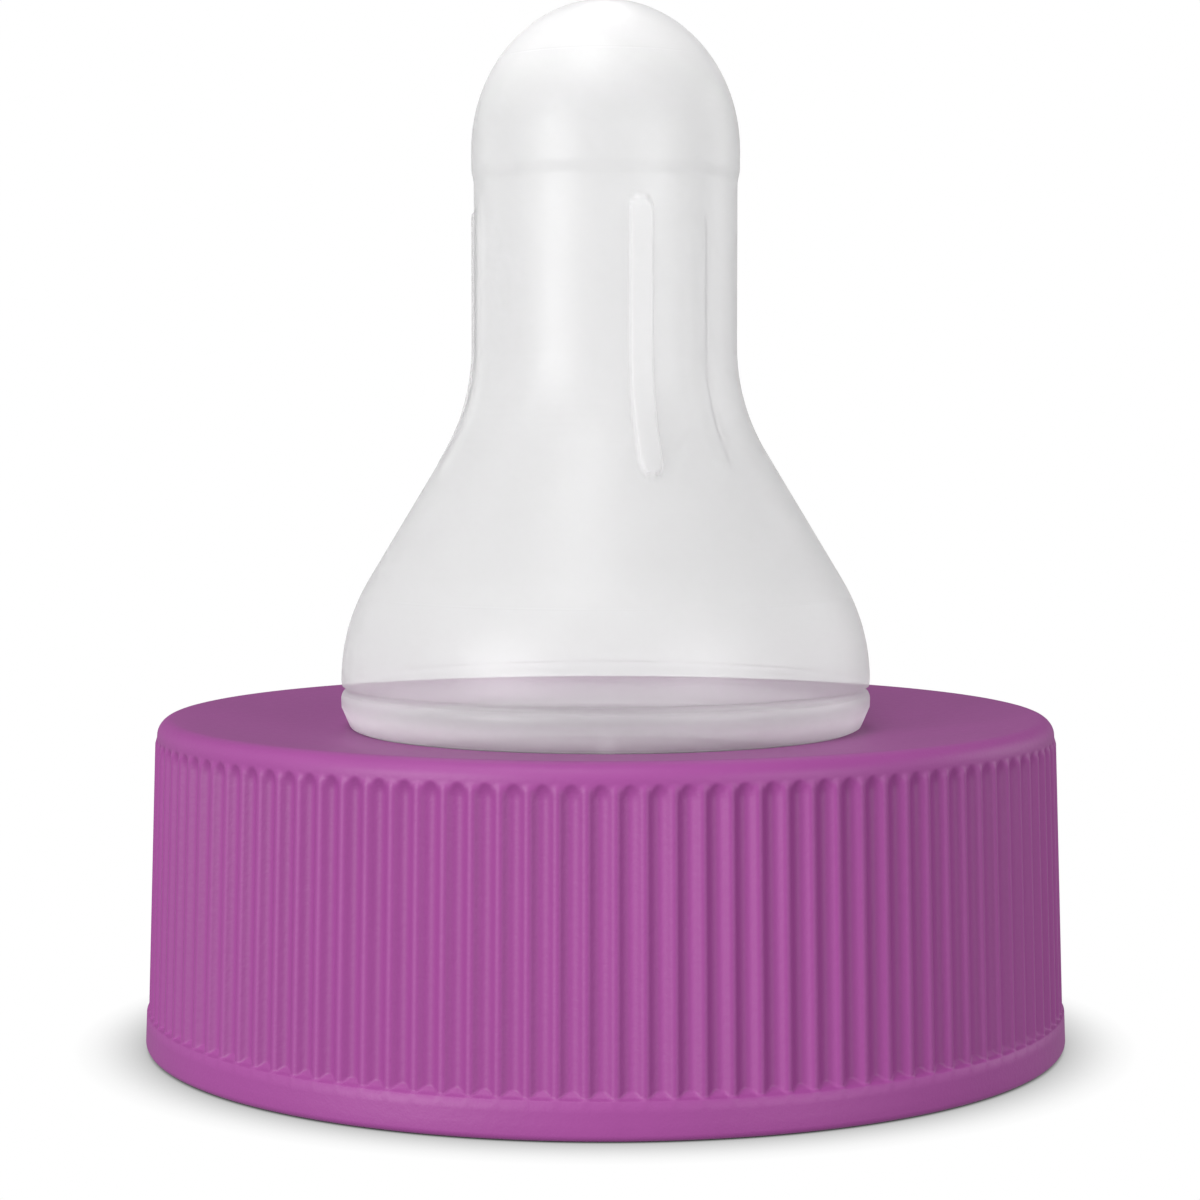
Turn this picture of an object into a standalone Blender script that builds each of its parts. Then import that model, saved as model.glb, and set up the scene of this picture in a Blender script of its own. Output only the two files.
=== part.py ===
"""Feeding nipple in a ribbed screw collar, for a narrow-neck bottle.

Two moulded pieces: a soft nipple and the stiff collar that clamps it to the bottle.
Metres, +Z up. The origin is the centre of the collar's bottom rim, and the front is -Y.
"""

import math

import bmesh
import bpy
from mathutils import Matrix, Vector

# Collar, outside
COLLAR_RADIUS = 0.0225  # plain band, at the bottom rim
COLLAR_HEIGHT = 0.0159  # bottom rim to the highest ring of the top
SIDE_LEAN = 0.0006  # how far the side leans in, from the rim to the top
SHOULDER_RADIUS = 0.0008
RIM_EDGE = 0.0003  # rounding under the plain band
BAND_HEIGHT = 0.0017  # plain band below the flutes
BAND_STEP = 0.0001  # how far the band stands out past the ridges

# Grip: ridges with a hollow flute between each two
FLUTE_COUNT = 112
RIDGE_WIDTH = 0.00025
FLUTE_DEPTH = 0.00033
FLUTE_FOOT = 0.0004  # height of the sloping face that ends a flute at the band
FLUTE_TOP_GAP = 0.0001  # from the end of a flute to the start of the shoulder
FLUTE_RUNOUT = 0.0008  # length over which a flute fades out at its top
FIRST_RIDGE_ANGLE = math.radians(1.1)  # from the front, towards +X

# Collar, top plate and inside
DISH_DEPTH = 0.0007  # the top falls this much from its rim to the hole
PLATE_THICKNESS = 0.0015  # at the hole
HOLE_EDGE = 0.0002
COLLAR_WALL = 0.0016  # at the bottom rim
MOUTH_LEAD = 0.0007  # how far the mouth opens out past the socket
MOUTH_CHAMFER = 0.0014  # height of that opening out
THREAD_HEIGHT = 0.0009  # root to crest
THREAD_PITCH = 0.0040
THREAD_TURNS = 1.5
THREAD_START = 0.0034  # height of the thread's lower end
THREAD_BASE = 0.0018
THREAD_CREST = 0.0007
THREAD_SINK = 0.0004  # how deep the thread is rooted in the wall

# Nipple, outside, from the collar's plate upwards
BEAD_HEIGHT = 0.0009
BEAD_TAPER = 0.0004  # the bead narrows this much towards the collar
NOTCH_HEIGHT = 0.00125  # from the bead to the bulb's widest ring
NOTCH_DEPTH = 0.00018
BULB_RADIUS = 0.01295
BULB_ARC = 0.00945  # round curve at the top of the bulb
FLARE_ANGLE = math.radians(31)  # of the straight stretch, from vertical
SHAFT_ARC = 0.0099  # hollow curve at the foot of the shaft
SHAFT_LENGTH = 0.0081
SHAFT_LEAN = 0.00006  # the shaft widens this much towards its foot
TIP_LIP = 0.00012  # how far the tip stands out past the shaft
TIP_SKIRT = 0.0014  # straight length below the dome
TIP_RADIUS = 0.00654
TIP_RISE = 0.0073  # height of the tip's dome

# Stiffening ribs, raised on the shaft and fading into the flare
RIB_COUNT = 3
FIRST_RIB_ANGLE = math.radians(14.8)  # from the front, towards +X
RIB_HALF_ANGLE = math.radians(5.6)
RIB_HEIGHT = 0.00022
RIB_TOP_GAP = 0.0010  # from the tip's lip down to the rib
RIB_DROP = 0.0062  # how far the rib runs on below the foot of the shaft
RIB_FADE = 0.0009  # length of each rounded end

# Nipple, base and inside
NECK_GROOVE = 0.00105  # depth of the groove that the collar's plate lies in
FLANGE_THICKNESS = 0.0017
FLANGE_EDGE = 0.0003
WALL = 0.0013
TIP_WALL = 0.0018
FEED_HOLE_RADIUS = 0.00025
VENT_RADIUS = 0.0005
VENT_OFFSET = 0.0010  # from the neck to the vent's edge

# Clearances
HOLE_CLEARANCE = 0.0002  # between the neck and the collar's hole
SEAT_GAP = 0.00025  # between the collar's plate and the nipple, above it and below it
FLANGE_CLEARANCE = 0.0004  # between the flange and the thread's crest

# Fineness of the facets
SHOULDER_STEPS = 3
INNER_SEGMENTS = 56
THREAD_TAPER_STEPS = 4  # facets over which each end of the thread grows to full height
COLUMNS_BETWEEN_RIBS = 9

# Radii that follow from the sizes above
MOUTH_RADIUS = COLLAR_RADIUS - COLLAR_WALL
SOCKET_RADIUS = MOUTH_RADIUS - MOUTH_LEAD  # the thread's root
NECK_RADIUS = BULB_RADIUS - NECK_GROOVE
HOLE_RADIUS = NECK_RADIUS + HOLE_CLEARANCE
FLANGE_RADIUS = SOCKET_RADIUS - THREAD_HEIGHT - FLANGE_CLEARANCE
SHAFT_RADIUS = TIP_RADIUS - TIP_LIP

# Heights that follow, from the flange up to the tip
PLATE_TOP = COLLAR_HEIGHT - DISH_DEPTH
PLATE_BOTTOM = PLATE_TOP - PLATE_THICKNESS
FLANGE_TOP = PLATE_BOTTOM - SEAT_GAP
FLANGE_BOTTOM = FLANGE_TOP - FLANGE_THICKNESS
BEAD_BOTTOM = PLATE_TOP + SEAT_GAP
BEAD_TOP = BEAD_BOTTOM + BEAD_HEIGHT
BULB_HEIGHT = BEAD_TOP + NOTCH_HEIGHT
FLARE_ARCS = BULB_ARC + SHAFT_ARC
SLOPE_RUN = BULB_RADIUS - SHAFT_RADIUS - FLARE_ARCS * (1 - math.cos(FLARE_ANGLE))
SHAFT_FOOT = BULB_HEIGHT + FLARE_ARCS * math.sin(FLARE_ANGLE) + SLOPE_RUN / math.tan(FLARE_ANGLE)
TIP_FOOT = SHAFT_FOOT + SHAFT_LENGTH
TIP_CENTRE = TIP_FOOT + TIP_SKIRT


def clear_scene():
    for old in list(bpy.data.objects):
        bpy.data.objects.remove(old, do_unlink=True)


def plastic(name, colour, roughness):
    material = bpy.data.materials.new(name)
    material.use_nodes = True
    shader = material.node_tree.nodes["Principled BSDF"]
    shader.inputs["Base Color"].default_value = (*colour, 1)
    shader.inputs["Roughness"].default_value = roughness
    shader.inputs["Metallic"].default_value = 0
    material.diffuse_color = (*colour, 1)
    return material


def add_object(name, bm, material, origin=Vector()):
    """Turns bm, modelled in world space, into an object with its origin at the given point."""
    bmesh.ops.recalc_face_normals(bm, faces=bm.faces)
    bmesh.ops.transform(bm, matrix=Matrix.Translation(-origin), verts=bm.verts)
    mesh = bpy.data.meshes.new(name)
    bm.to_mesh(mesh)
    bm.free()
    mesh.materials.append(material)
    mesh.shade_smooth()
    mesh.set_sharp_from_angle(angle=math.radians(35))
    obj = bpy.data.objects.new(name, mesh)
    obj.location = origin
    bpy.context.scene.collection.objects.link(obj)
    return obj


def boolean(obj, cutter, operation):
    cutter.hide_render = True
    cutter.display_type = "WIRE"
    modifier = obj.modifiers.new(cutter.name, "BOOLEAN")
    modifier.operation = operation
    modifier.object = cutter


def from_front(radius, angle, height):
    """The point at this radius and height, at an angle turned from the front (-Y) towards +X."""
    return Vector((radius * math.sin(angle), -radius * math.cos(angle), height))


def arc(centre_radius, centre_height, across, up, start, end, steps):
    """Points (radius, height) of an elliptic arc. Angles run from outwards (0) to upwards (90)."""
    points = []
    for step in range(steps + 1):
        angle = math.radians(start + (end - start) * step / steps)
        points.append((centre_radius + across * math.cos(angle), centre_height + up * math.sin(angle)))
    return points


def join_rows(bm, first, second):
    """Faces between two closed rows of points that start at the same angle, of any two lengths."""
    i = j = 0
    while i < len(first) or j < len(second):
        lead = (i + 1) * len(second) - (j + 1) * len(first)
        face = [second[j % len(second)], first[i % len(first)]]
        if lead <= 0:
            i += 1
            face.append(first[i % len(first)])
        if lead >= 0:
            j += 1
            face.append(second[j % len(second)])
        bm.faces.new(face)


def close_rows(bm, rows):
    """Joins each row to the next, and the last to the first."""
    for first, second in zip(rows, rows[1:] + rows[:1]):
        join_rows(bm, first, second)


# Collar


def side_radius(height):
    """Radius of the ridges' tops, and of the shoulder's foot."""
    return COLLAR_RADIUS - BAND_STEP - (SIDE_LEAN - BAND_STEP) * height / COLLAR_HEIGHT


def flute_columns():
    """(angle, share of the flute's width) of each column of one ridge and the flute beside it."""
    half_ridge = RIDGE_WIDTH / COLLAR_RADIUS / 2
    width = 2 * math.pi / FLUTE_COUNT - 2 * half_ridge
    shares = (0, 1 / 3, 2 / 3)
    return [(-half_ridge, 0)] + [(half_ridge + width * share, share) for share in shares]


def ribbed_row(bm, radius, height, fade):
    """A row of ridges and flutes. fade is 0 where the flutes are full depth and 1 where they have ended."""
    row = []
    for flute in range(FLUTE_COUNT):
        for angle, share in flute_columns():
            hollow = max(0, 1 - (2 * share - 1) ** 2 - fade**2)
            angle += FIRST_RIDGE_ANGLE + flute * 2 * math.pi / FLUTE_COUNT
            row.append(bm.verts.new(from_front(radius - FLUTE_DEPTH * hollow, angle, height)))
    return row


def plain_row(bm, radius, height, segments=FLUTE_COUNT):
    start = FIRST_RIDGE_ANGLE - RIDGE_WIDTH / COLLAR_RADIUS / 2
    turn = 2 * math.pi / segments
    angles = [start + index * turn for index in range(segments)]
    return [bm.verts.new(from_front(radius, angle, height)) for angle in angles]


def collar_body():
    bm = bmesh.new()
    shoulder_foot = COLLAR_HEIGHT - SHOULDER_RADIUS
    flute_top = shoulder_foot - FLUTE_TOP_GAP
    flute_foot = BAND_HEIGHT + FLUTE_FOOT
    rows = [
        plain_row(bm, COLLAR_RADIUS - RIM_EDGE, 0),
        plain_row(bm, COLLAR_RADIUS, RIM_EDGE),
        ribbed_row(bm, side_radius(BAND_HEIGHT) + BAND_STEP, BAND_HEIGHT, 1),
        ribbed_row(bm, side_radius(flute_foot), flute_foot, 0),
    ]
    for fade in (0, 0.65, 1):
        height = flute_top - FLUTE_RUNOUT * (1 - fade)
        rows.append(ribbed_row(bm, side_radius(height), height, fade))
    centre = side_radius(shoulder_foot) - SHOULDER_RADIUS
    shoulder = arc(centre, shoulder_foot, SHOULDER_RADIUS, SHOULDER_RADIUS, 0, 90, SHOULDER_STEPS)
    rows += [plain_row(bm, radius, height) for radius, height in shoulder]
    inside = [
        (HOLE_RADIUS + HOLE_EDGE, PLATE_TOP),
        (HOLE_RADIUS, PLATE_TOP - HOLE_EDGE),
        (HOLE_RADIUS, PLATE_BOTTOM),
        (SOCKET_RADIUS, PLATE_BOTTOM),
        (SOCKET_RADIUS, MOUTH_CHAMFER),
        (MOUTH_RADIUS, 0),
    ]
    rows += [plain_row(bm, radius, height, INNER_SEGMENTS) for radius, height in inside]
    close_rows(bm, rows)
    return bm


def thread_body():
    """One helical tooth, rooted in the socket's wall and tapered at both ends."""
    bm = bmesh.new()
    steps = round(THREAD_TURNS * INNER_SEGMENTS)
    sections = []
    for step in range(steps + 1):
        turns = THREAD_TURNS * step / steps
        angle = 2 * math.pi * turns
        height = THREAD_START + THREAD_PITCH * turns
        size = min(1, (min(step, steps - step) + 0.5) / THREAD_TAPER_STEPS)
        crest = SOCKET_RADIUS - THREAD_HEIGHT * size
        corners = [
            (SOCKET_RADIUS + THREAD_SINK, -THREAD_BASE / 2),
            (crest, -THREAD_CREST / 2 * size),
            (crest, THREAD_CREST / 2 * size),
            (SOCKET_RADIUS + THREAD_SINK, THREAD_BASE / 2),
        ]
        sections.append([bm.verts.new(from_front(radius, angle, height + up)) for radius, up in corners])
    for first, second in zip(sections, sections[1:]):
        join_rows(bm, first, second)
    bm.faces.new(sections[0])
    bm.faces.new(sections[-1])
    return bm


def make_collar():
    purple = plastic("collar_plastic", (0.38, 0.09, 0.32), 0.42)
    collar = add_object("collar", collar_body(), purple)
    boolean(collar, add_object("thread_tool", thread_body(), purple), "UNION")
    return collar


# Nipple


def flare(inset, steps):
    """The curve from the shaft's foot down to the bulb's widest ring, moved in by inset."""
    turned = math.degrees(FLARE_ANGLE)
    hollow = SHAFT_ARC + inset
    bulge = BULB_ARC - inset
    points = arc(SHAFT_RADIUS + SHAFT_ARC, SHAFT_FOOT, hollow, hollow, 180, 180 + turned, steps)
    points += arc(BULB_RADIUS - BULB_ARC, BULB_HEIGHT, bulge, bulge, turned, 0, steps)
    return points


def outside_outline():
    """(radius, height) of the outside, from the feed hole down to the underside of the flange."""
    opening = math.degrees(math.acos(FEED_HOLE_RADIUS / TIP_RADIUS))
    return [
        *arc(0, TIP_CENTRE, TIP_RADIUS, TIP_RISE, opening, 0, 8),
        (TIP_RADIUS, TIP_FOOT + TIP_LIP),
        (SHAFT_RADIUS - SHAFT_LEAN, TIP_FOOT - TIP_LIP),
        *flare(0, 5),
        (BULB_RADIUS - NOTCH_DEPTH, (BULB_HEIGHT + BEAD_TOP) / 2),
        (BULB_RADIUS, BEAD_TOP),
        (BULB_RADIUS - BEAD_TAPER, BEAD_BOTTOM),
        (NECK_RADIUS, BEAD_BOTTOM),
        (NECK_RADIUS, FLANGE_TOP),
        (FLANGE_RADIUS - FLANGE_EDGE, FLANGE_TOP),
        (FLANGE_RADIUS, FLANGE_TOP - FLANGE_EDGE),
        (FLANGE_RADIUS, FLANGE_BOTTOM),
    ]


def inside_outline():
    """(radius, height) of the hollow, from the mouth in the flange up to the feed hole."""
    dome = arc(0, TIP_CENTRE, TIP_RADIUS - WALL, TIP_RISE - TIP_WALL, 0, 90, 6)
    return [
        (NECK_RADIUS - WALL, FLANGE_BOTTOM),
        (NECK_RADIUS - WALL, BEAD_BOTTOM),
        *reversed(flare(WALL, 4)),
        *dome[:-1],
        (FEED_HOLE_RADIUS, dome[-1][1]),
    ]


def with_ring_at(outline, height):
    """The outline with one more point, where it first comes down to the given height."""
    for index, (upper, lower) in enumerate(zip(outline, outline[1:])):
        if upper[1] > height > lower[1]:
            share = (upper[1] - height) / (upper[1] - lower[1])
            ring = (upper[0] + (lower[0] - upper[0]) * share, height)
            return [*outline[: index + 1], ring, *outline[index + 1 :]]
    return outline


def nipple_columns():
    """(angle, share of the rib's height) of each column: five over each rib and an even spread between."""
    columns = []
    pitch = 2 * math.pi / RIB_COUNT
    gap = (pitch - 2 * RIB_HALF_ANGLE) / (COLUMNS_BETWEEN_RIBS + 1)
    for rib in range(RIB_COUNT):
        centre = FIRST_RIB_ANGLE + rib * pitch
        across = ((-1, 0), (-0.6, 1), (0, 1), (0.6, 1), (1, 0))
        columns += [(centre + place * RIB_HALF_ANGLE, share) for place, share in across]
        edge = centre + RIB_HALF_ANGLE
        columns += [(edge + gap * (index + 1), 0) for index in range(COLUMNS_BETWEEN_RIBS)]
    return columns


def nipple_row(bm, radius, height, rise):
    places = [from_front(radius + rise * share, angle, height) for angle, share in nipple_columns()]
    return [bm.verts.new(place) for place in places]


def nipple_body():
    bm = bmesh.new()
    rib_top = TIP_FOOT - RIB_TOP_GAP
    rib_bottom = SHAFT_FOOT - RIB_DROP
    outside = outside_outline()
    for height in (rib_top, rib_top - RIB_FADE, rib_bottom + RIB_FADE, rib_bottom):
        outside = with_ring_at(outside, height)
    rows = []
    for radius, height in outside:
        rise = RIB_HEIGHT if rib_bottom < height < rib_top else 0
        rows.append(nipple_row(bm, radius, height, rise))
    rows += [nipple_row(bm, radius, height, 0) for radius, height in inside_outline()]
    close_rows(bm, rows)
    return bm


def vent_tool(material):
    """The hole through the flange that lets air back into the bottle."""
    bm = bmesh.new()
    middle = (FLANGE_TOP + FLANGE_BOTTOM) / 2
    centre = from_front(NECK_RADIUS + VENT_OFFSET + VENT_RADIUS, math.pi, middle)
    bmesh.ops.create_cone(
        bm,
        cap_ends=True,
        segments=12,
        radius1=VENT_RADIUS,
        radius2=VENT_RADIUS,
        depth=FLANGE_THICKNESS * 2,
        matrix=Matrix.Translation(centre),
    )
    return add_object("vent_tool", bm, material)


def make_nipple(collar):
    silicone = plastic("nipple_silicone", (0.78, 0.78, 0.79), 0.35)
    nipple = add_object("nipple", nipple_body(), silicone, origin=Vector((0, 0, PLATE_TOP)))
    boolean(nipple, vent_tool(silicone), "DIFFERENCE")
    nipple.parent = collar
    return nipple


def main():
    clear_scene()
    make_nipple(make_collar())


main()
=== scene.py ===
"""Feeding nipple in a ribbed screw collar: the finished mouldings, their materials and a plain studio.

Laid out as an add-on and run as a script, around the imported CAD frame. Metres, +Z up, the front is -Y.
"""

import math

import bmesh
import bpy
from mathutils import Matrix, Vector


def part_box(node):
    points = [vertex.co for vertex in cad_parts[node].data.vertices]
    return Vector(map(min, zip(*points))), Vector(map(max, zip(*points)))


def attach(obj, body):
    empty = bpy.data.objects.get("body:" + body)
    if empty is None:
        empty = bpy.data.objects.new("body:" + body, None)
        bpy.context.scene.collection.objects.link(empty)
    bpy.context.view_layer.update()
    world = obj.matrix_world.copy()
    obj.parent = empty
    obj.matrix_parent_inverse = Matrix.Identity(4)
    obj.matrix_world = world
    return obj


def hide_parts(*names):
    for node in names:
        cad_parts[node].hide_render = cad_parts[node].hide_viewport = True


bl_info = {
    "name": "Feeding Nipple With Screw Collar",
    "version": (1, 0, 0),
    "blender": (4, 5, 0),
    "location": "3D View > Sidebar > Feeding Nipple",
    "description": "Soft nipple held in a ribbed screw collar, with its materials and a plain studio",
    "category": "Object",
}

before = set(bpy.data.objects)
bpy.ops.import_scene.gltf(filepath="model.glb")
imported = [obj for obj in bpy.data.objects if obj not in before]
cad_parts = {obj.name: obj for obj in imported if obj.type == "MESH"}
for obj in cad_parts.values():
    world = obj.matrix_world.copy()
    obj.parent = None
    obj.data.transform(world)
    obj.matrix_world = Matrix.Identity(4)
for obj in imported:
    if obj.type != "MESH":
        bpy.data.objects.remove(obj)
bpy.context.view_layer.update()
COLLAR_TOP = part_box("collar")[1]
NIPPLE_BASE, NIPPLE_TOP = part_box("nipple")
MERGE_DISTANCE = 1e-6
FULL_TURN = 2 * math.pi


def size(name, description, default):
    """A length in metres that a user may change."""
    return bpy.props.FloatProperty(
        name=name, description=description, default=default, unit="LENGTH", subtype="DISTANCE", precision=5
    )


def angle(name, description, degrees):
    return bpy.props.FloatProperty(
        name=name, description=description, default=math.radians(degrees), subtype="ANGLE"
    )


def colour(name, description, default):
    return bpy.props.FloatVectorProperty(
        name=name, description=description, default=default, size=3, min=0, max=1, subtype="COLOR"
    )


def number(name, description, default):
    return bpy.props.FloatProperty(name=name, description=description, default=default, min=0)


def power(name, description, default):
    """The power of a light in watts."""
    return bpy.props.FloatProperty(name=name, description=description, default=default, min=0, unit="POWER")


def share(name, description, default):
    return bpy.props.FloatProperty(
        name=name, description=description, default=default, min=0, max=1, subtype="FACTOR"
    )


class CollarSettings(bpy.types.PropertyGroup):
    """Sizes and colour of the screw collar."""

    radius: size("Radius", "Plain band, at the bottom rim", COLLAR_TOP.x)
    height: size("Height", "Bottom rim to the highest ring of the top", COLLAR_TOP.z)
    side_lean: size("Side lean", "How far the side leans in, from the rim to the top", 0.0006)
    shoulder: size("Shoulder", "Radius of the round shoulder", 0.00082)
    rim_edge: size("Rim edge", "Rounding under the plain band", 0.0003)
    band_height: size("Band height", "Plain band below the flutes", 0.0017)
    band_step: size("Band step", "How far the band stands out past the ridges", 0.0001)
    band_edge: size("Band edge", "Height of the rounding on top of the band", 0.00014)
    flutes: bpy.props.IntProperty(name="Flutes", description="Flutes round the grip", default=112, min=12)
    first_ridge: angle("First ridge", "From the front, towards +X", 1.1)
    ridge_width: size("Ridge width", "Flat crest of a ridge", 0.00025)
    ridge_proud: size("Ridge proud", "How far the ridges stand out past the shoulder's foot", 0.00008)
    ridge_end: size("Ridge end", "Height of the facet that ends a ridge at the shoulder", 0.0003)
    flute_depth: size("Flute depth", "Crest of a ridge to the floor of a flute", 0.00029)
    flute_foot: size("Flute foot", "Height of the slope that ends a flute at the band", 0.00036)
    flute_runout: size("Flute runout", "Length over which a flute ends in an arch at its top", 0.0007)
    flute_gap: size("Flute gap", "From the top of the arches to the shoulder", 0.00008)
    dish: size("Dish", "How far the top falls from its rim to the hole", 0.0007)
    plate: size("Plate", "Thickness of the top at the hole", 0.0015)
    hole_radius: size("Hole radius", "Hole that the nipple's neck passes through", 0.0121)
    hole_edge: size("Hole edge", "Rounding of the hole's upper edge", 0.0002)
    socket_radius: size("Socket radius", "Root of the thread", 0.0202)
    mouth_radius: size("Mouth radius", "Opening at the bottom rim", 0.0209)
    mouth_chamfer: size("Mouth chamfer", "Height over which the mouth narrows to the socket", 0.0014)
    thread_height: size("Thread height", "Root to crest", 0.0009)
    thread_pitch: size("Thread pitch", "Rise in one turn", 0.004)
    thread_start: size("Thread start", "Height of the lower end", 0.0034)
    thread_turns: number("Thread turns", "Turns of the thread", 1.5)
    thread_base: size("Thread base", "Width of the thread at its root", 0.0018)
    thread_crest: size("Thread crest", "Width of the thread at its crest", 0.0007)
    tint: colour("Colour", "Purple of the plastic", (0.257, 0.0475, 0.221))


class NippleSettings(bpy.types.PropertyGroup):
    """Sizes and colour of the soft nipple."""

    top: size("Top", "Height of the tip above the bottom rim", NIPPLE_TOP.z)
    base: size("Base", "Height of the flange's underside above the bottom rim", NIPPLE_BASE.z)
    flange_radius: size("Flange radius", "Flange that the bottle's rim presses on", NIPPLE_TOP.x)
    tip_radius: size("Tip radius", "Widest ring of the tip", 0.00654)
    tip_rise: size("Tip rise", "Height of the tip's dome", 0.0073)
    tip_skirt: size("Tip skirt", "Straight length below the dome", 0.0014)
    tip_lip: size("Tip lip", "How far the tip stands out past the shaft", 0.00012)
    lip_slope: size("Lip slope", "Height over which the tip runs into the shaft", 0.0008)
    shaft_length: size("Shaft length", "Lip of the tip to the start of the flare", 0.0081)
    shaft_arc: size("Shaft arc", "Hollow curve at the foot of the shaft", 0.0099)
    flare: angle("Flare", "Steepest stretch of the flare, from vertical", 31)
    bulb_radius: size("Bulb radius", "Widest ring of the bulb", 0.01295)
    bulb_arc: size("Bulb arc", "Round curve at the top of the bulb", 0.00945)
    bulb_height: size("Bulb height", "Height of the bulb's widest ring above the bottom rim", 0.0176)
    notch_depth: size("Notch depth", "Groove between the bulb and the bead", 0.00022)
    bead_top: size("Bead top", "Upper edge of the bead above the bottom rim", 0.0168)
    bead_foot: size("Bead foot", "Lower edge of the bead, just over the collar's top", 0.01526)
    bead_taper: size("Bead taper", "The bead narrows this much towards the collar", 0.0005)
    neck_radius: size("Neck radius", "Groove that the collar's plate lies in", 0.0119)
    flange: size("Flange", "Thickness of the flange", 0.0017)
    edge: size("Edge", "Rounding of the flange and the bead", 0.0003)
    wall: size("Wall", "Thickness of the wall", 0.0013)
    tip_wall: size("Tip wall", "Thickness of the wall at the tip", 0.0018)
    feed_hole: size("Feed hole", "Radius of the hole in the tip", 0.00025)
    vent: size("Vent", "Radius of the air vent in the flange", 0.0005)
    vent_place: size("Vent place", "Distance of the vent from the axis", 0.0134)
    ribs: bpy.props.IntProperty(name="Ribs", description="Stiffening ribs round the shaft", default=3, min=1)
    first_rib: angle("First rib", "From the front, towards +X", 14.8)
    rib_half_width: size("Rib half width", "Middle of a rib to its edge", 0.00063)
    rib_height: size("Rib height", "How far a rib stands out", 0.00032)
    rib_edge: size("Rib edge", "Width of a rib's sloping side", 0.00016)
    rib_top: size("Rib top", "From the tip's lip down to the rib", 0.0012)
    rib_drop: size("Rib drop", "How far a rib runs on below the start of the flare", 0.0062)
    seam: size("Seam", "Half width of the fine lines left by the mould", 0.00006)
    lower_seam: size("Lower seam", "Height of the mould line on the flare", 0.0217)
    upper_seam: size("Upper seam", "Height of the mould line on the tip", 0.0477)
    tint: colour("Colour", "Milky white of the silicone", (0.60, 0.60, 0.603))
    cover: share("Cover", "Share of the light that the outer surface keeps", 0.36)
    base_cover: share("Base cover", "The same at the bead, which is solid", 0.37)
    edge_cover: share("Edge cover", "How much more it keeps where it is seen at a slant", 0.30)
    inside_cover: share("Inside cover", "Share of the light that the inner surface keeps", 0.04)


class StageSettings(bpy.types.PropertyGroup):
    """The plain studio."""

    floor_tint: colour("Floor", "Colour of the floor", (1, 1, 1))
    # Reach of the painted contact shadow that ambient occlusion darkens into the floor's glow
    shadow: size("Shadow", "Reach of the soft shadow where the part stands on the floor", 0.0036)
    dome: number("Dome", "Even light from all round", 0.2)
    floor_glow: number("Floor glow", "Light that the bright sweep sends up", 0.35)
    key: power("Key", "Main soft light, low at the front left", 3.5)
    front: power("Front", "Soft light, low at the front right", 1.85)
    side: power("Side", "Weak soft light at the left", 0.35)
    upper: power("Upper", "Soft light, high at the front left", 1.55)
    rear: power("Rear", "Low soft light at the rear right", 0.8)
    back: power("Back", "Low soft light at the rear left", 0.15)
    over: power("Over", "Small light above, for the gloss on the tip", 0.45)


class PartSettings(bpy.types.PropertyGroup):
    """Everything a user may change."""

    collar: bpy.props.PointerProperty(type=CollarSettings)
    nipple: bpy.props.PointerProperty(type=NippleSettings)
    stage: bpy.props.PointerProperty(type=StageSettings)


# Turned shapes


def from_front(radius, turned, height):
    """The point at this radius and height, at an angle turned from the front (-Y) towards +X."""
    return Vector((radius * math.sin(turned), -radius * math.cos(turned), height))


def place_of(point):
    """(radius, angle turned from the front, height) of a point."""
    return math.hypot(point.x, point.y), math.atan2(point.x, -point.y), point.z


def arc(centre_radius, centre_height, across, up, start, end, steps):
    """Points (radius, height) of an elliptic arc. Angles run from outwards (0) to upwards (90 degrees)."""
    angles = [math.radians(start + (end - start) * step / steps) for step in range(steps + 1)]
    return [(centre_radius + across * math.cos(a), centre_height + up * math.sin(a)) for a in angles]


def line(start, end, steps):
    """Points on a straight stretch between two points, without the two themselves."""
    shares = [step / steps for step in range(1, steps)]
    return [tuple(a + (b - a) * share for a, b in zip(start, end)) for share in shares]


def draw_outline(bm, outline, turned):
    """The outline as a chain of edges in the upright plane at an angle from the front."""
    verts = [bm.verts.new(from_front(radius, turned, height)) for radius, height in outline]
    return verts + [bm.edges.new(pair) for pair in zip(verts, verts[1:])]


def spin(bm, geometry, turn, steps, copies=False):
    made = bmesh.ops.spin(
        bm,
        geom=geometry,
        cent=(0, 0, 0),
        axis=(0, 0, 1),
        dvec=(0, 0, 0),
        angle=turn,
        steps=steps,
        use_merge=False,
        use_duplicate=copies,
    )
    return made["geom_last"]


def repeat_round(bm, count):
    """Copies everything round the axis and welds the copies to each other."""
    everything = bm.verts[:] + bm.edges[:] + bm.faces[:]
    spin(bm, everything, FULL_TURN * (count - 1) / count, count - 1, copies=True)
    bmesh.ops.remove_doubles(bm, verts=bm.verts, dist=MERGE_DISTANCE)


def smooth_step(share):
    share = min(max(share, 0), 1)
    return share * share * (3 - 2 * share)


def finish_piece(bm, name, material, sharp_degrees=60):
    """The closed mesh as an object at the origin, smooth but for its sharp edges."""
    bmesh.ops.recalc_face_normals(bm, faces=bm.faces)
    mesh = bpy.data.meshes.new(name)
    bm.to_mesh(mesh)
    bm.free()
    mesh.materials.append(material)
    mesh.shade_smooth()
    mesh.set_sharp_from_angle(angle=math.radians(sharp_degrees))
    piece = bpy.data.objects.new(name, mesh)
    bpy.context.scene.collection.objects.link(piece)
    return piece


# Collar

FLUTE_COLUMNS = 12  # to one flute
SOCKET_COLUMNS = 2
RING_STEP = 0.0003  # between the fine outside and the coarser inside
THREAD_RUNOUT = 1 / 12  # turns over which each end of the thread rises


def crest_radius(collar, height):
    """Radius of the ridges' crests."""
    lean = (collar.side_lean - collar.band_step) * height / collar.height
    return collar.radius - collar.band_step - lean


def flute_ends(collar):
    """Heights of the lowest and highest point of the flutes."""
    return collar.band_height, collar.height - collar.shoulder - collar.flute_gap


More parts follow.
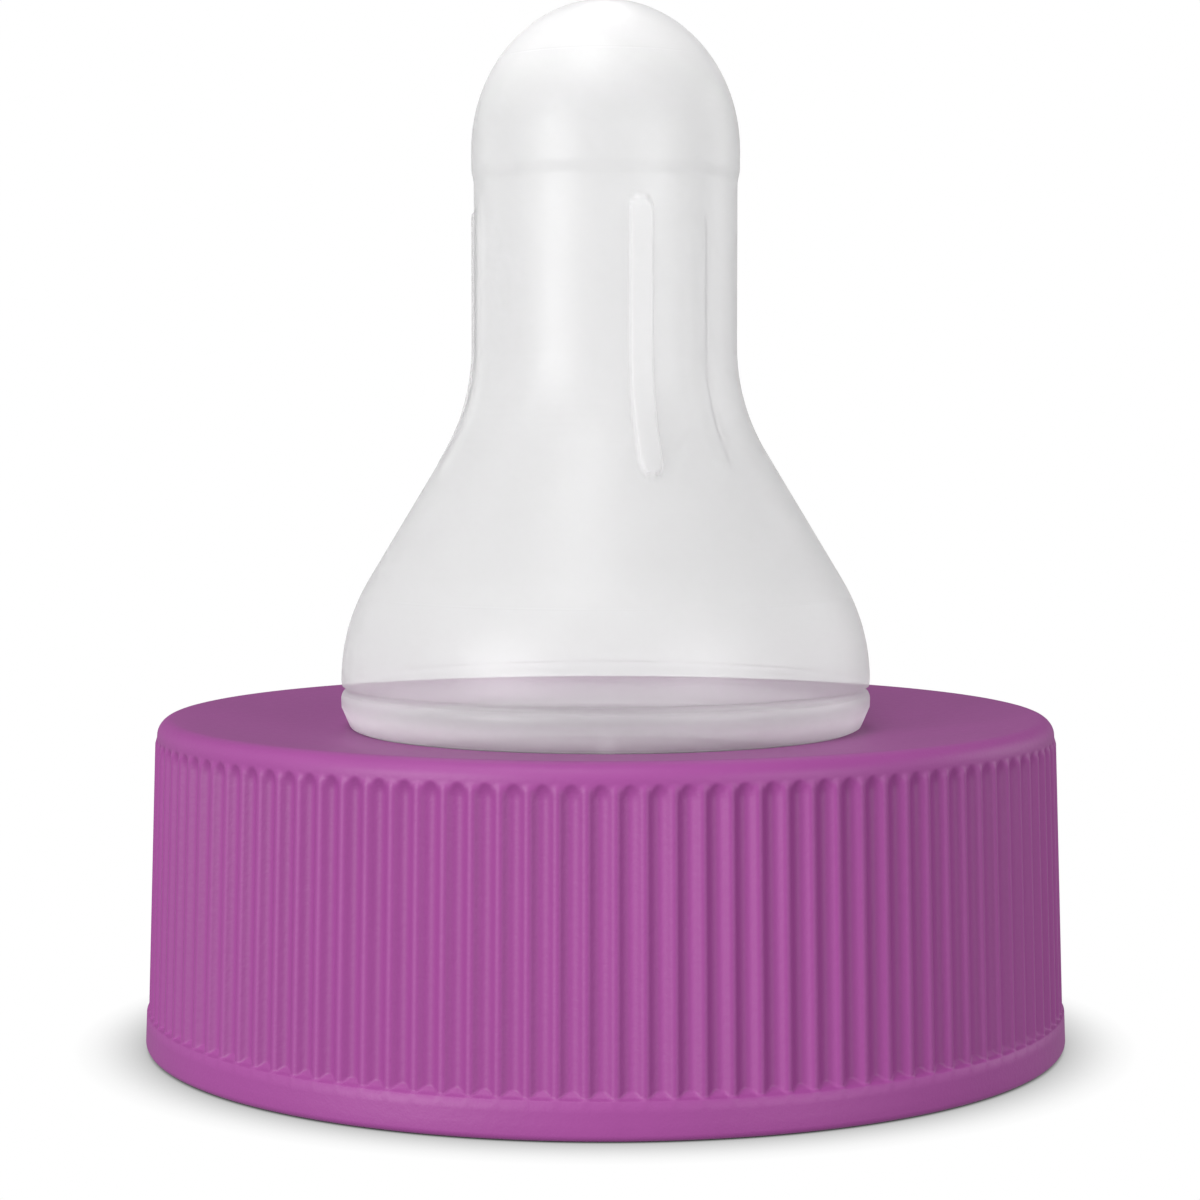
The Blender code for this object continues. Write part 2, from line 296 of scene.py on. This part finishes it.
def rows_between(low, high, count):
    return [low + (high - low) * row / count for row in range(count + 1)]


def collar_outside(collar):
    """Outline from the bottom rim, up the outside and over the top, to the underside of the plate."""
    foot, arch = flute_ends(collar)
    runout = arch - collar.flute_runout - collar.ridge_end
    shoulder_height = collar.height - collar.shoulder
    edge = collar.rim_edge
    heights = rows_between(foot, foot + collar.flute_foot * 1.2, 9)[1:]
    heights += rows_between(heights[-1], runout, 3)[1:-1]
    heights += rows_between(runout, shoulder_height, 16)[:-1]
    band_top = (crest_radius(collar, foot) + collar.band_step, foot)
    shoulder_foot = crest_radius(collar, shoulder_height) - collar.ridge_proud
    centre = shoulder_foot - collar.shoulder
    plate_top = collar.height - collar.dish
    hole_top = (collar.hole_radius + collar.hole_edge, plate_top)
    hole_foot = (collar.hole_radius, plate_top - collar.plate)
    return [
        (collar.mouth_radius + RING_STEP, 0),
        *arc(collar.radius - edge, edge, edge, edge, -90, 0, 5),
        *line((collar.radius, edge), band_top, 3),
        band_top,
        *[(crest_radius(collar, height), height) for height in heights],
        *arc(centre, shoulder_height, collar.shoulder, collar.shoulder, 0, 90, 10),
        *line((centre, collar.height), hole_top, 8),
        *arc(hole_top[0], plate_top - collar.hole_edge, collar.hole_edge, collar.hole_edge, 90, 180, 4),
        *line((collar.hole_radius, plate_top - collar.hole_edge), hole_foot, 3),
        hole_foot,
    ]


def grip_radius(collar, share, height):
    """Radius of the grip at a share of the way from one ridge to the next."""
    foot, arch = flute_ends(collar)
    pitch = FULL_TURN * collar.radius / collar.flutes
    ridge = collar.ridge_width / pitch / 2
    across = abs(2 * (share - ridge) / (1 - 2 * ridge) - 1)
    depth = collar.flute_depth * max(0, 1 - across**2)
    depth = min(depth, collar.flute_depth * max(0, height - foot) / collar.flute_foot)
    proud = max(0, collar.ridge_proud - depth)
    proud = min(proud, collar.ridge_proud * max(0, arch - height) / collar.ridge_end)
    hollow = max(0, depth - collar.ridge_proud)
    fade = max(0, 1 - (arch - height) / collar.flute_runout)
    reach = math.sqrt(1 - collar.ridge_proud / collar.flute_depth)
    deepest = collar.flute_depth - collar.ridge_proud
    hollow = min(hollow, deepest * max(0, 1 - (across / reach) ** 2 - fade**2))
    step = collar.band_step * (1 - smooth_step((height - foot) / collar.band_edge))
    return crest_radius(collar, height) - collar.ridge_proud + proud - hollow + step


def press_flute(bm, collar):
    """Turns the plain side of one ridge's width into half a ridge, a flute and half a ridge."""
    foot = flute_ends(collar)[0]
    for vert in bm.verts:
        radius, turned, height = place_of(vert.co)
        if radius > collar.mouth_radius and foot < height < collar.height - collar.shoulder:
            share = (turned - collar.first_ridge) * collar.flutes / FULL_TURN
            grown = grip_radius(collar, share, height) / radius
            vert.co = Vector((vert.co.x * grown, vert.co.y * grown, height))


def socket_outline(collar):
    """Outline of the inside, from the underside of the plate down to the mouth."""
    ceiling = collar.height - collar.dish - collar.plate
    fillet = RING_STEP
    wall_top = (collar.socket_radius, ceiling - fillet)
    wall_foot = (collar.socket_radius, collar.mouth_chamfer)
    return [
        (collar.hole_radius + RING_STEP, ceiling),
        *arc(collar.socket_radius - fillet, ceiling - fillet, fillet, fillet, 90, 0, 3),
        *line(wall_top, wall_foot, 60),
        wall_foot,
        (collar.mouth_radius, 0),
    ]


def thread_rise(collar, turned, height):
    """How far the thread stands in from its root at an angle and a height."""
    rise = 0
    for turn in range(math.ceil(collar.thread_turns)):
        turns = (turned / FULL_TURN) % 1 + turn
        if turns < collar.thread_turns:
            off = abs(height - collar.thread_start - collar.thread_pitch * turns)
            flank = (collar.thread_base - collar.thread_crest) / 2
            ends = min(turns, collar.thread_turns - turns) / THREAD_RUNOUT
            rise = max(rise, smooth_step((collar.thread_base / 2 - off) / flank) * smooth_step(ends))
    return rise * collar.thread_height


def cut_thread(bm, collar):
    """Moves the socket's wall in along the thread."""
    for vert in bm.verts:
        radius, turned, height = place_of(vert.co)
        if abs(radius - collar.socket_radius) < MERGE_DISTANCE:
            grown = 1 - thread_rise(collar, turned, height) / radius
            vert.co = Vector((vert.co.x * grown, vert.co.y * grown, height))


def ring_at(bm, radius, height):
    """Edges of the open ring at this radius and height."""
    close = 1e-5
    level = [vert for vert in bm.verts if abs(vert.co.z - height) < close]
    on_ring = {vert for vert in level if abs(place_of(vert.co)[0] - radius) < close}
    return [edge for edge in bm.edges if edge.is_boundary and set(edge.verts) <= on_ring]


def collar_mesh(collar):
    bm = bmesh.new()
    pitch = FULL_TURN / collar.flutes
    spin(bm, draw_outline(bm, collar_outside(collar), collar.first_ridge), pitch, FLUTE_COLUMNS)
    press_flute(bm, collar)
    spin(bm, draw_outline(bm, socket_outline(collar), collar.first_ridge), pitch, SOCKET_COLUMNS)
    repeat_round(bm, collar.flutes)
    cut_thread(bm, collar)
    ceiling = collar.height - collar.dish - collar.plate
    for radius, height in ((collar.hole_radius, ceiling), (collar.mouth_radius, 0)):
        rings = ring_at(bm, radius, height) + ring_at(bm, radius + RING_STEP, height)
        bmesh.ops.bridge_loops(bm, edges=rings)
    return bm


# Nipple

RIB_COLUMNS, PLAIN_COLUMNS = 36, 48
RIB_ROWS = 0.00022  # between two rows of points along the ribs
HOLLOW = "hollow"  # marks the inside of the wall
RIB_ZONE = math.radians(8)  # fine columns this far each side of a rib's middle


def nipple_places(nipple):
    """Heights of the tip's centre, the lip and the start of the flare, and the radius of the shaft."""
    centre = nipple.top - nipple.tip_rise
    lip = centre - nipple.tip_skirt
    return centre, lip, lip - nipple.shaft_length, nipple.tip_radius - nipple.tip_lip


def flare_curve(nipple, inset, steps):
    """The curve from the shaft's foot down to the bulb's widest ring, moved in by inset."""
    _, _, foot, shaft = nipple_places(nipple)
    turned = math.degrees(nipple.flare)
    hollow = nipple.shaft_arc + inset
    bulge = nipple.bulb_arc - inset
    points = arc(shaft + nipple.shaft_arc, foot, hollow, hollow, 180, 180 + turned, steps)
    lower = arc(nipple.bulb_radius - nipple.bulb_arc, nipple.bulb_height, bulge, bulge, turned, 0, steps)
    return points + line(points[-1], lower[0], 3) + lower


def rounded(outline, radius, steps=3):
    """The outline with each marked corner (radius, height, True) rounded off."""
    points = []
    for index, point in enumerate(outline):
        if len(point) < 3:
            points.append(point)
            continue
        corner = Vector(point[:2])
        back = Vector(outline[index - 1][:2]) - corner
        ahead = Vector(outline[index + 1][:2]) - corner
        first = corner + back.normalized() * radius
        last = corner + ahead.normalized() * radius
        for step in range(steps + 1):
            share = step / steps
            points.append(tuple((first.lerp(corner, share)).lerp(corner.lerp(last, share), share)))
    return points


def refined(outline, low, high, spacing):
    """The outline with points no further apart than spacing between two heights."""
    points = outline[:1]
    for start, end in zip(outline, outline[1:]):
        if low < (start[1] + end[1]) / 2 < high:
            steps = max(1, math.ceil(math.dist(start, end) / spacing))
            points += line(start, end, steps)
        points.append(end)
    return points


def nipple_outside(nipple):
    """Outline from the feed hole, down the outside, to the underside of the flange."""
    centre, lip, foot, _ = nipple_places(nipple)
    opening = math.degrees(math.acos(nipple.feed_hole * 1.4 / nipple.tip_radius))
    radius = nipple.bulb_radius
    notch = (nipple.bulb_height + nipple.bead_top) / 2
    flange_top = nipple.base + nipple.flange
    points = [
        *arc(0, centre, nipple.tip_radius, nipple.tip_rise, opening, 0, 28),
        (nipple.tip_radius, (centre + lip) / 2),
    ]
    for row in rows_between(0, 1, 8):
        drop = nipple.tip_lip * smooth_step(row)
        points.append((nipple.tip_radius - drop, lip + nipple.lip_slope * (0.7 - row)))
    body = [points[-1], *flare_curve(nipple, 0, 12)]
    points += refined(body, foot - nipple.rib_drop - 0.001, lip, RIB_ROWS)[1:]
    points += [
        (radius - 0.00003, nipple.bulb_height - 0.00025),
        *arc(radius, notch, nipple.notch_depth, nipple.notch_depth, 110, 250, 6),
        (radius + 0.00002, nipple.bead_top, True),
        (radius, nipple.bead_top - 0.0005),
        (radius - nipple.bead_taper * 0.9, nipple.bead_foot, True),
        (nipple.neck_radius, nipple.bead_foot, True),
        (nipple.neck_radius, flange_top, True),
        (nipple.flange_radius, flange_top, True),
        (nipple.flange_radius, nipple.base, True),
    ]
    return points


def nipple_inside(nipple):
    """Outline of the hollow, from the mouth in the flange up to the feed hole."""
    centre = nipple_places(nipple)[0]
    inner = nipple.neck_radius - nipple.wall
    dome = arc(0, centre, nipple.tip_radius - nipple.wall, nipple.tip_rise - nipple.tip_wall, 0, 86, 14)
    return [
        (inner, nipple.base, True),
        (inner, nipple.bead_foot + 0.0003),
        (inner + 0.0003, nipple.bead_foot + 0.0009),
        *reversed(flare_curve(nipple, nipple.wall, 8)),
        *dome,
        (nipple.feed_hole, dome[-1][1] - 0.00005),
        (nipple.feed_hole, nipple.top - 0.0003),
    ]


def rib_rise(nipple, turned, radius, height):
    """How far a rib stands out at an angle from its middle: a long round-ended bar with sloping sides."""
    _, lip, foot, _ = nipple_places(nipple)
    high = lip - nipple.rib_top - nipple.rib_half_width
    low = foot - nipple.rib_drop + nipple.rib_half_width
    beyond = max(0, height - high, low - height)
    off = math.hypot(turned * radius, beyond)
    return nipple.rib_height * smooth_step((nipple.rib_half_width - off) / nipple.rib_edge)


def raise_rib(bm, nipple):
    foot = nipple_places(nipple)[2] - nipple.rib_drop
    for vert in bm.verts:
        radius, turned, height = place_of(vert.co)
        if height > foot and radius > nipple.tip_radius - nipple.wall / 2:
            grown = 1 + rib_rise(nipple, turned - nipple.first_rib, radius, height) / radius
            vert.co = Vector((vert.co.x * grown, vert.co.y * grown, height))


def nipple_mesh(nipple):
    bm = bmesh.new()
    hollow = bm.verts.layers.float.new(HOLLOW)
    outline = rounded(nipple_outside(nipple) + nipple_inside(nipple), nipple.edge / 2)
    outline.append(outline[0])
    rib_pitch = FULL_TURN / nipple.ribs
    start = draw_outline(bm, outline, nipple.first_rib - RIB_ZONE)
    mouth = (nipple.neck_radius - nipple.wall + nipple.edge, nipple.base + nipple.edge)
    inside = [radius < mouth[0] and height < mouth[1] for radius, height in outline]
    for vert in start[inside.index(True) : len(outline) - 1]:
        vert[hollow] = 1
    across = spin(bm, start, 2 * RIB_ZONE, RIB_COLUMNS)
    raise_rib(bm, nipple)
    spin(bm, across, rib_pitch - 2 * RIB_ZONE, PLAIN_COLUMNS)
    repeat_round(bm, nipple.ribs)
    return bm


def bore_vent(piece, nipple):
    """Cuts the air vent through the flange, at the back."""
    bm = bmesh.new()
    centre = from_front(nipple.vent_place, math.pi, nipple.base + nipple.flange / 2)
    bmesh.ops.create_cone(
        bm,
        cap_ends=True,
        segments=24,
        radius1=nipple.vent,
        radius2=nipple.vent,
        depth=nipple.flange * 2,
        matrix=Matrix.Translation(centre),
    )
    cutter = finish_piece(bm, "vent_drill", piece.data.materials[0])
    cut = piece.modifiers.new("Vent", "BOOLEAN")
    cut.operation = "DIFFERENCE"
    cut.object = cutter
    bpy.context.view_layer.update()
    graph = bpy.context.evaluated_depsgraph_get()
    bored = bpy.data.meshes.new_from_object(piece.evaluated_get(graph))
    piece.modifiers.clear()
    piece.data = bored
    bpy.data.objects.remove(cutter, do_unlink=True)


# Materials

FLOW_STRETCH = 0.35  # of the collar's flow marks, along its height
STREAK_STRETCH = 0.06  # of the nipple's streaks, along its height
GRAIN_DEPTH = 0.000012
PEEL_DEPTH = 0.000004
SEAM_DEPTH = 0.000006

class Value:
    """A socket that can be used in arithmetic, which adds the Math nodes it needs."""

    def __init__(self, finish, socket):
        self.finish = finish
        self.socket = socket

    def maths(self, operation, first, second):
        return self.finish.node("ShaderNodeMath", {"operation": operation}, {0: first, 1: second})

    def __add__(self, other):
        return self.maths("ADD", self, other)

    def __radd__(self, other):
        return self.maths("ADD", other, self)

    def __sub__(self, other):
        return self.maths("SUBTRACT", self, other)

    def __rsub__(self, other):
        return self.maths("SUBTRACT", other, self)

    def __mul__(self, other):
        return self.maths("MULTIPLY", self, other)

    def __rmul__(self, other):
        return self.maths("MULTIPLY", other, self)


class Finish:
    """The nodes of one material."""

    def __init__(self, name):
        self.material = bpy.data.materials.new(name)
        self.material.use_nodes = True
        self.tree = self.material.node_tree
        self.shader = self.tree.nodes["Principled BSDF"]

    def fill(self, node, inputs):
        for name, value in inputs.items():
            if isinstance(value, Value):
                self.tree.links.new(value.socket, node.inputs[name])
            else:
                node.inputs[name].default_value = value

    def node(self, kind, settings, inputs, output=0):
        """Adds a node, sets it up, fills its sockets and returns one of its outputs."""
        node = self.tree.nodes.new(kind)
        for name, value in settings.items():
            setattr(node, name, value)
        self.fill(node, inputs)
        return Value(self, node.outputs[output])

    def place(self, scale=(1, 1, 1)):
        """The piece's own coordinates, stretched."""
        place = self.node("ShaderNodeTexCoord", {}, {}, "Object")
        return self.node("ShaderNodeMapping", {}, {"Vector": place, "Scale": scale})

    def noise(self, place, scale, detail):
        inputs = {"Vector": place, "Scale": scale, "Detail": detail}
        return self.node("ShaderNodeTexNoise", {}, inputs)

    def step(self, value, start, end):
        """A soft step, from 0 at start to 1 at end."""
        inputs = {"Value": value, "From Min": start, "From Max": end}
        return self.node("ShaderNodeMapRange", {"interpolation_type": "SMOOTHSTEP"}, inputs)

    def line(self, value, place, half_width):
        """A thin ridge, 1 at the place and 0 at its sides."""
        off = self.node("ShaderNodeMath", {"operation": "ABSOLUTE"}, {0: value - place})
        return self.step(off, half_width, 0)

    def mix(self, share, first, second):
        """A colour between two colours."""
        return self.node("ShaderNodeMix", {"data_type": "RGBA"}, {0: share, 6: first, 7: second}, 2)

    def bump(self, height, distance, normal=None):
        inputs = {"Height": height, "Distance": distance}
        if normal:
            inputs["Normal"] = normal
        return self.node("ShaderNodeBump", {}, inputs)


def shade(tint, factor):
    """The tint made lighter or darker, as a colour with an alpha."""
    return (*[min(1, channel * factor) for channel in tint], 1)


def collar_plastic(collar):
    """Satin moulded plastic, with faint flow marks and a fine grain."""
    finish = Finish("collar_plastic")
    place = finish.place()
    flow = finish.noise(finish.place((1, 1, FLOW_STRETCH)), 140, 3)
    grain = finish.noise(place, 2600, 2)
    fine = finish.noise(place, 9000, 1)
    tint = finish.mix(flow, shade(collar.tint, 0.93), shade(collar.tint, 1.07))
    rough = 0.45 + 0.06 * flow + 0.06 * grain
    finish.fill(
        finish.shader,
        {
            "Base Color": tint,
            "Roughness": rough,
            "Normal": finish.bump(grain + 0.5 * fine, GRAIN_DEPTH),
            "IOR": 1.49,
            "Specular IOR Level": 0.35,
        },
    )
    return finish.material


def nipple_silicone(nipple):
    """Milky silicone: part of the light passes, and the rest is scattered in the wall. The bead's foot
    carries painted light, and the tip a partly painted highlight.
    """
    finish = Finish("nipple_silicone")
    place = finish.place()
    cloud = finish.noise(place, 110, 3)
    peel = finish.noise(place, 1500, 2)
    streaks = finish.noise(finish.place((1, 1, STREAK_STRETCH)), 900, 2)
    rough = 0.32 + 0.08 * cloud + 0.05 * peel
    height = finish.node("ShaderNodeSeparateXYZ", {}, {0: place}, "Z")
    bead = finish.step(height, nipple.bead_top + 0.0006, nipple.bead_top - 0.0006)
    # Partly painted highlight: towards its top the tip is made lighter and more opaque, partly for its
    # thicker wall and partly in place of the gloss from the lights above.
    tip = finish.step(height, nipple.top - 0.0065, nipple.top - 0.001)
    tint = finish.mix(cloud, shade(nipple.tint, 0.97), shade(nipple.tint, 1.03))
    # Painted light: the bead's lower part faces down into shade, so towards the collar it is painted lighter
    # and made a little more opaque.
    under = finish.step(height, nipple.bead_top - 0.0001, nipple.bead_foot + 0.0004)
    tint = finish.mix(under, tint, shade(nipple.tint, 1.6))
    tint = finish.mix(tip, tint, shade(nipple.tint, 1.4))
    steep = finish.node("ShaderNodeLayerWeight", {}, {"Blend": 0.35}, "Facing")
    upper = finish.line(height, nipple.upper_seam, nipple.seam)
    lower = finish.line(height, nipple.lower_seam, nipple.seam)
    seams = (upper + lower) * finish.step(cloud, 0.35, 0.6)
    skin = finish.bump(peel + 0.5 * streaks, PEEL_DEPTH)
    hollow = finish.node("ShaderNodeAttribute", {"attribute_name": HOLLOW}, {}, "Fac")
    cover = nipple.cover + (nipple.base_cover - nipple.cover) * bead
    cover = cover + 0.15 * tip + 0.12 * under + nipple.edge_cover * steep
    cover = cover * (1 - hollow) + nipple.inside_cover * hollow
    finish.fill(
        finish.shader,
        {
            "Base Color": tint,
            "Roughness": rough,
            "Normal": finish.bump(seams, SEAM_DEPTH, skin),
            "IOR": 1.41,
            "Specular IOR Level": 0.8,
            "Alpha": cover,
            "Subsurface Weight": 1.0,
            "Subsurface Radius": (1.0, 1.0, 1.0),
            "Subsurface Scale": 0.003,
        },
    )
    return finish.material


# Studio

OBJECT_MIDDLE = Vector((0, 0, 0.022))
LIGHT_DISTANCE, LIGHT_WIDTH = 0.6, 0.3
FLOOR_RADIUS = 3.0
FLOOR_GAP = 0.00003  # below the bottom rim
PAINTED_SHADE_INSIDE_COLLAR = 0.12  # painted shade on the floor inside the collar
CAMERA_PLACE = (0, -0.142, 0.02982)
CAMERA_PITCH = math.radians(3.38)  # downwards
LENS, SENSOR, SHIFT = 86.84, 36, -0.0047


def soft_light(name, turned, raised, power, distance=LIGHT_DISTANCE, width=LIGHT_WIDTH):
    """A square soft light aimed at the object, turned from the front and raised, in degrees."""
    lamp = bpy.data.lights.new(name, "AREA")
    lamp.shape = "SQUARE"
    lamp.size = width
    lamp.energy = power
    light = bpy.data.objects.new(name, lamp)
    raised = math.radians(raised)
    aim = from_front(math.cos(raised), math.radians(turned), math.sin(raised))
    light.location = OBJECT_MIDDLE + aim * distance
    light.rotation_euler = aim.to_track_quat("Z", "Y").to_euler()
    bpy.context.scene.collection.objects.link(light)


def white_world(strength):
    """Even white light, in front of a plain white background."""
    world = bpy.data.worlds.new("studio")
    world.use_nodes = True
    nodes, links = world.node_tree.nodes, world.node_tree.links
    path = nodes.new("ShaderNodeLightPath")
    seen = nodes.new("ShaderNodeMapRange")
    seen.inputs["To Min"].default_value = strength
    links.new(path.outputs["Is Camera Ray"], seen.inputs["Value"])
    background = nodes["Background"]
    background.inputs["Color"].default_value = (1, 1, 1, 1)
    links.new(seen.outputs["Result"], background.inputs["Strength"])
    bpy.context.scene.world = world


def floor_finish(stage, inside):
    """An evenly lit white sweep with a painted soft contact shadow, painted shade inside the collar, and
    open from below.
    """
    finish = Finish("floor")
    place = finish.node("ShaderNodeTexCoord", {}, {}, "Object")
    far = finish.node("ShaderNodeVectorMath", {"operation": "LENGTH"}, {0: place}, "Value")
    # Painted shade: the floor's glow is dimmed inside the collar's mouth.
    open_floor = finish.step(far, inside * 0.9, inside)
    seen = finish.node("ShaderNodeLightPath", {}, {}, "Is Camera Ray")
    # Painted contact shadow: ambient occlusion darkens the floor's glow near the part, for camera rays only.
    shadow = finish.node("ShaderNodeAmbientOcclusion", {"samples": 24}, {"Distance": stage.shadow}, "AO")
    bright = finish.mix(shadow, (0, 0, 0, 1), (*stage.floor_tint, 1))
    bright = finish.mix(seen, shade(stage.floor_tint, stage.floor_glow), bright)
    finish.fill(
        finish.shader,
        {
            "Base Color": (0, 0, 0, 1),
            "Emission Color": finish.mix(open_floor, shade(stage.floor_tint, PAINTED_SHADE_INSIDE_COLLAR), bright),
            "Emission Strength": 1.0,
            "Roughness": 0.9,
            "Specular IOR Level": 0.0,
        },
    )
    below = finish.node("ShaderNodeNewGeometry", {}, {}, "Backfacing")
    clear = finish.node("ShaderNodeBsdfTransparent", {}, {})
    sheet = Value(finish, finish.shader.outputs[0])
    surface = finish.node("ShaderNodeMixShader", {}, {0: below, 1: sheet, 2: clear})
    finish.fill(finish.tree.nodes["Material Output"], {"Surface": surface})
    return finish.material


def make_floor(stage, inside):
    bm = bmesh.new()
    bmesh.ops.create_circle(bm, cap_ends=True, segments=96, radius=FLOOR_RADIUS)
    bmesh.ops.translate(bm, verts=bm.verts, vec=(0, 0, -FLOOR_GAP))
    floor = finish_piece(bm, "floor", floor_finish(stage, inside))
    if floor.data.polygons[0].normal.z < 0:
        floor.data.flip_normals()


def make_camera():
    lens = bpy.data.cameras.new("camera")
    lens.lens = LENS
    lens.sensor_width = SENSOR
    lens.shift_x = SHIFT
    lens.clip_start = 0.01
    lens.clip_end = 10
    camera = bpy.data.objects.new("camera", lens)
    camera.location = CAMERA_PLACE
    camera.rotation_euler = (math.pi / 2 - CAMERA_PITCH, 0, 0)
    bpy.context.scene.collection.objects.link(camera)
    bpy.context.scene.camera = camera


# Operators


class FEEDING_OT_collar(bpy.types.Operator):
    """Models the screw collar with its grip, dished top and thread"""

    bl_idname = "feeding.collar"
    bl_label = "Collar"

    def execute(self, context):
        collar = context.scene.feeding_nipple.collar
        piece = finish_piece(collar_mesh(collar), "collar_moulding", collar_plastic(collar))
        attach(piece, "collar")
        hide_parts("collar")
        return {"FINISHED"}


class FEEDING_OT_nipple(bpy.types.Operator):
    """Models the soft nipple with its tip, ribs, flare, bead, flange and vent"""

    bl_idname = "feeding.nipple"
    bl_label = "Nipple"

    def execute(self, context):
        nipple = context.scene.feeding_nipple.nipple
        piece = finish_piece(nipple_mesh(nipple), "nipple_moulding", nipple_silicone(nipple))
        bore_vent(piece, nipple)
        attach(piece, "nipple")
        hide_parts("nipple")
        return {"FINISHED"}


class FEEDING_OT_stage(bpy.types.Operator):
    """Sets up the floor, the soft lights and the camera"""

    bl_idname = "feeding.stage"
    bl_label = "Studio"

    def execute(self, context):
        stage = context.scene.feeding_nipple.stage
        context.scene.view_settings.view_transform = "Standard"
        white_world(stage.dome)
        make_floor(stage, context.scene.feeding_nipple.collar.mouth_radius)
        soft_light("key", -45, 12, stage.key)
        soft_light("front", 45, 12, stage.front)
        soft_light("side", -90, 38, stage.side)
        soft_light("upper", -22, 60, stage.upper, width=0.26)
        soft_light("rear", 112, 14, stage.rear)
        soft_light("back", -120, 12, stage.back)
        soft_light("over", 180, 58, stage.over, distance=0.5, width=0.12)
        make_camera()
        return {"FINISHED"}


class FEEDING_PT_sidebar(bpy.types.Panel):
    """Lists the pieces and their main sizes"""

    bl_idname = "FEEDING_PT_sidebar"
    bl_label = "Feeding Nipple"
    bl_space_type = "VIEW_3D"
    bl_region_type = "UI"
    bl_category = "Feeding Nipple"

    def draw(self, context):
        settings = context.scene.feeding_nipple
        for operator in OPERATORS:
            self.layout.operator(operator.bl_idname)
        for group in (settings.collar, settings.nipple, settings.stage):
            box = self.layout.box()
            for name in group.__annotations__:
                box.prop(group, name)


OPERATORS = (FEEDING_OT_collar, FEEDING_OT_nipple, FEEDING_OT_stage)
CLASSES = (CollarSettings, NippleSettings, StageSettings, PartSettings, *OPERATORS, FEEDING_PT_sidebar)


def register():
    for cls in CLASSES:
        bpy.utils.register_class(cls)
    bpy.types.Scene.feeding_nipple = bpy.props.PointerProperty(type=PartSettings)


def unregister():
    del bpy.types.Scene.feeding_nipple
    for cls in reversed(CLASSES):
        bpy.utils.unregister_class(cls)


def main():
    register()
    bpy.ops.feeding.collar()
    bpy.ops.feeding.nipple()
    bpy.ops.feeding.stage()


if __name__ == "__main__":
    main()
